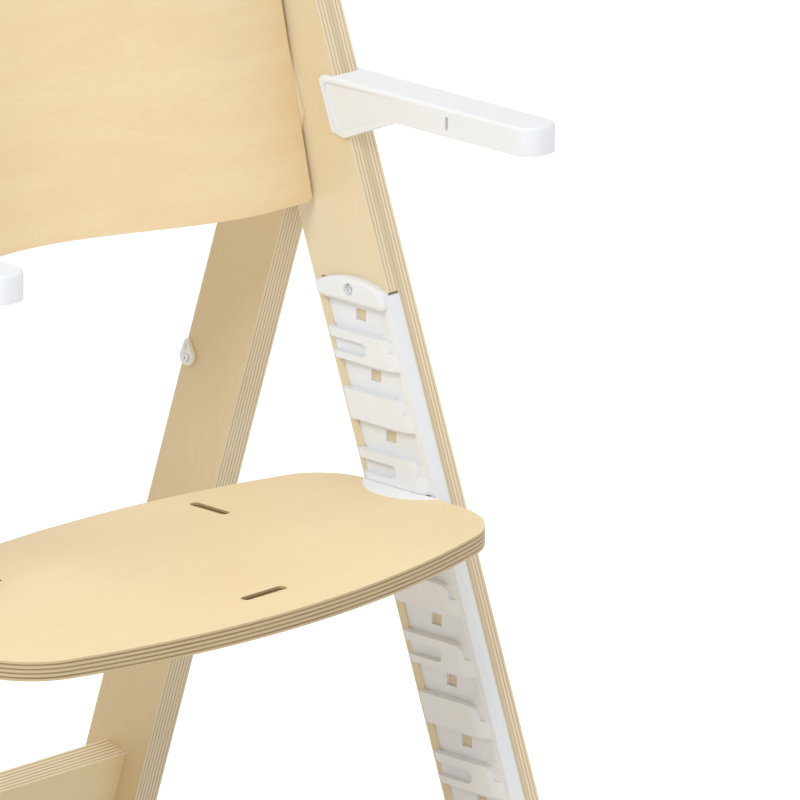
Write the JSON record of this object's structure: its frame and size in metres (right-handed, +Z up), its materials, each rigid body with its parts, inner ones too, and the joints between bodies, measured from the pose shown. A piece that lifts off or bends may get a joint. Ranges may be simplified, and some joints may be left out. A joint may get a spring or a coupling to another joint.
{
  "type": "baby high chair",
  "caption": "Wooden A-frame baby high chair: plywood legs, curved backrest, white armrests and notched rails that hold a seat and footrest at adjustable heights.",
  "frame": {"origin": "centre of the bounding box in plan, on the floor", "axes": "+Z up, the chair faces -Y, +X towards the right side seen from the front"},
  "size_m": [0.4822, 0.555, 0.815],
  "materials": {
    "plywood": "satin",
    "bent_plywood": "satin",
    "hardwood": "satin",
    "white_plastic": "satin",
    "grey_plastic": "matte",
    "zinc_steel": "satin"
  },
  "bodies": {
    "frame": {"front_leg_left": "plywood", "front_leg_right": "plywood", "rear_leg_left": "plywood", "rear_leg_right": "plywood", "rear_crossbar": "plywood", "backrest": "bent_plywood", "leg_dowels": "hardwood", "backrest_bracket_left": "hardwood", "backrest_bracket_right": "hardwood", "rail_left": "white_plastic", "rail_right": "white_plastic", "armrest_left": "white_plastic", "armrest_right": "white_plastic", "side_button_left": "white_plastic", "side_button_right": "white_plastic", "front_glides": "grey_plastic", "rear_glides": "grey_plastic", "rail_screws": "zinc_steel", "backrest_screws": "zinc_steel", "bracket_screws": "zinc_steel", "armrest_screws": "zinc_steel", "crossbar_bolts": "zinc_steel", "crossbar_barrel_nuts": "zinc_steel", "side_button_screws": "zinc_steel"},
    "seat": {"seat_plate": "plywood", "seat_insert_left": "white_plastic", "seat_insert_right": "white_plastic", "seat_insert_screws": "zinc_steel"},
    "footrest": {"footrest_plate": "plywood", "footrest_insert_left": "white_plastic", "footrest_insert_right": "white_plastic", "footrest_insert_screws": "zinc_steel"},
    "seat_lock_left": {"seat_lock_left": "white_plastic"},
    "seat_lock_right": {"seat_lock_right": "white_plastic"},
    "footrest_lock_left": {"footrest_lock_left": "white_plastic"},
    "footrest_lock_right": {"footrest_lock_right": "white_plastic"}
  },
  "joints": [
    {"name": "seat_slide", "type": "slide", "parent": "frame", "child": "seat", "axis": [0, 1, 0], "range_m": [0, 0.07]},
    {"name": "footrest_slide", "type": "slide", "parent": "frame", "child": "footrest", "axis": [0, 1, 0], "range_m": [0, 0.07]},
    {"name": "seat_lock_left_slide", "type": "slide", "parent": "seat", "child": "seat_lock_left", "axis": [-1, 0, 0], "range_m": [0, 0.004]},
    {"name": "seat_lock_right_slide", "type": "slide", "parent": "seat", "child": "seat_lock_right", "axis": [1, 0, 0], "range_m": [0, 0.004]},
    {"name": "footrest_lock_left_slide", "type": "slide", "parent": "footrest", "child": "footrest_lock_left", "axis": [-1, 0, 0], "range_m": [0, 0.004]},
    {"name": "footrest_lock_right_slide", "type": "slide", "parent": "footrest", "child": "footrest_lock_right", "axis": [1, 0, 0], "range_m": [0, 0.004]}
  ]
}
